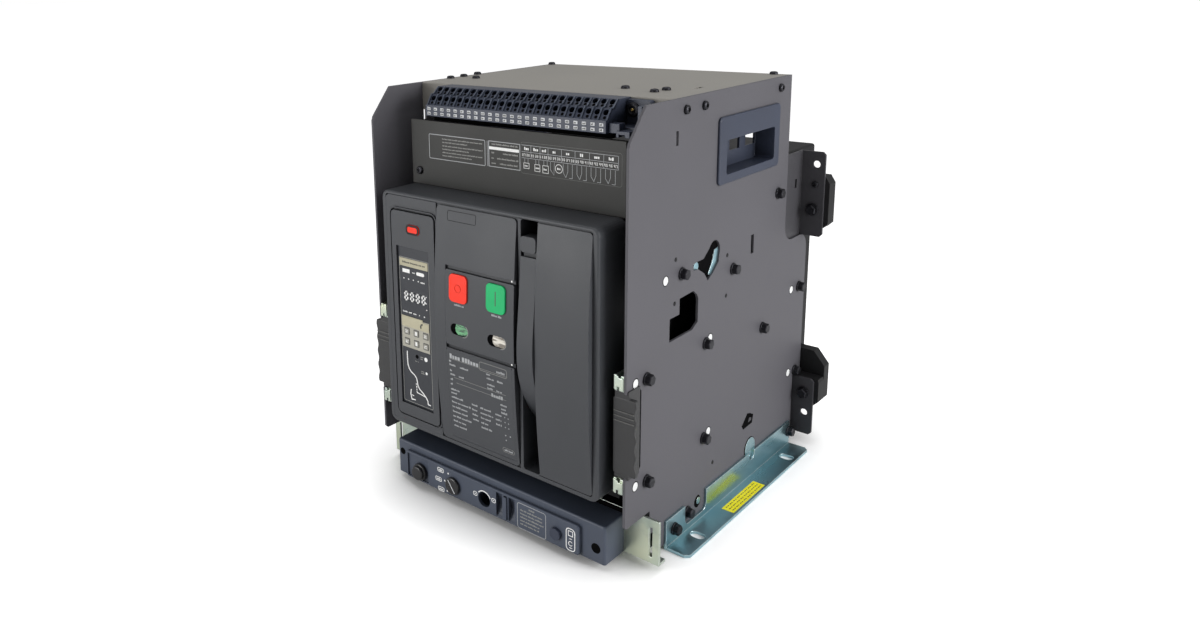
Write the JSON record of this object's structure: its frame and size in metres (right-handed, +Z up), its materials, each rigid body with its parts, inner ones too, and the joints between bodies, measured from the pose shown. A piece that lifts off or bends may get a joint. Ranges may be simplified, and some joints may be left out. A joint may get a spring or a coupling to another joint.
{
  "type": "drawout air circuit breaker",
  "caption": "Drawout air circuit breaker racked in a sheet metal cradle, with sliding rails, charging handle, push buttons and rear terminals.",
  "frame": {"origin": "centre of the four floor bolt slots in the foot brackets, on their underside", "axes": "+X to the right seen from the front, +Y to the rear, +Z up; the front cover faces -Y"},
  "size_m": [0.368, 0.4494, 0.432],
  "materials": {
    "side_plate": "matt powder coat",
    "top_plate": "matt powder coat",
    "zinc": "bluish zinc plating",
    "blue_plastic": "fine satin moulding",
    "black_plastic": "fine satin moulding",
    "cover_plastic": "fine spark-eroded texture",
    "label_plate": "matt",
    "terminal_metal": "tin or silver plated copper",
    "keypad": "printed film",
    "indicator": "glossy",
    "button_red": "satin",
    "button_green": "satin"
  },
  "bodies": {
    "cradle": {"side_plate_left": "side_plate", "side_plate_right": "side_plate", "top_plate": "top_plate", "base_tray": "zinc", "foot_bracket_left": "zinc", "foot_bracket_right": "zinc", "racking_panel": "blue_plastic", "racking_bezel": "blue_plastic", "rail_guides_left": "zinc", "rail_guides_right": "zinc", "terminal_block": "blue_plastic", "terminal_bracket": "blue_plastic", "hand_grip_left": "blue_plastic", "hand_grip_right": "blue_plastic", "rear_base": "black_plastic", "upper_terminals": "terminal_metal", "lower_terminals": "terminal_metal", "rear_brackets": "side_plate"},
    "rail_left": {"extension_rail_left": "zinc", "rail_grip_left": "black_plastic"},
    "rail_right": {"extension_rail_right": "zinc", "rail_grip_right": "black_plastic"},
    "carriage": {"racking_carriage": "zinc"},
    "crank": {"racking_crank": "black_plastic"},
    "indicator": {"position_indicator": "black_plastic"},
    "padlock": {"padlock_tab": "side_plate"},
    "release": {"release_button": "blue_plastic"},
    "breaker": {"breaker_body": "cover_plastic", "front_cover": "cover_plastic", "label_plate": "label_plate", "trip_unit": "black_plastic", "trip_keypad": "keypad", "control_panel": "cover_plastic", "nameplate": "label_plate", "status_indicators": "indicator", "support_lugs": "side_plate"},
    "handle": {"charging_handle": "black_plastic"},
    "off": {"off_button": "button_red"},
    "on": {"on_button": "button_green"},
    "reset": {"reset_button": "button_red"}
  },
  "joints": [
    {"name": "rail_left_slide", "type": "slide", "parent": "cradle", "child": "rail_left", "axis": [0, -1, 0], "range_m": [0, 0.2]},
    {"name": "rail_right_slide", "type": "slide", "parent": "cradle", "child": "rail_right", "axis": [0, -1, 0], "range_m": [0, 0.2]},
    {"name": "racking_slide", "type": "slide", "parent": "cradle", "child": "carriage", "axis": [0, -1, 0], "range_m": [0, 0.05]},
    {"name": "breaker_withdraw", "type": "slide", "parent": "carriage", "child": "breaker", "axis": [0, -1, 0], "range_m": [0, 0.2]},
    {"name": "indicator_turn", "type": "hinge", "parent": "cradle", "child": "indicator", "pos_m": [-0.0498, -0.208, 0.022], "axis": [0, -1, 0], "range_deg": [0, 100]},
    {"name": "crank_pull", "type": "slide", "parent": "cradle", "child": "crank", "axis": [0, -1, 0], "range_m": [0, 0.03]},
    {"name": "padlock_pull", "type": "slide", "parent": "cradle", "child": "padlock", "axis": [0, -1, 0], "range_m": [0, 0.01], "stiffness_N_per_m": 300},
    {"name": "release_push", "type": "slide", "parent": "cradle", "child": "release", "axis": [0, 1, 0], "range_m": [0, 0.003], "stiffness_N_per_m": 600},
    {"name": "handle_swing", "type": "hinge", "parent": "breaker", "child": "handle", "pos_m": [0.0593, -0.178, 0.118], "axis": [1, 0, 0], "range_deg": [0, 60], "stiffness_Nm_per_rad": 2, "springref_deg": -28.65},
    {"name": "off_push", "type": "slide", "parent": "breaker", "child": "off", "axis": [0, 1, 0], "range_m": [0, 0.0035], "stiffness_N_per_m": 600},
    {"name": "on_push", "type": "slide", "parent": "breaker", "child": "on", "axis": [0, 1, 0], "range_m": [0, 0.0035], "stiffness_N_per_m": 600},
    {"name": "reset_push", "type": "slide", "parent": "breaker", "child": "reset", "axis": [0, 1, 0], "range_m": [0, 0.003], "stiffness_N_per_m": 600}
  ],
  "couplings": [
    {"joint": "indicator_turn", "follows": "racking_slide", "rad_per_m": 34.9}
  ]
}
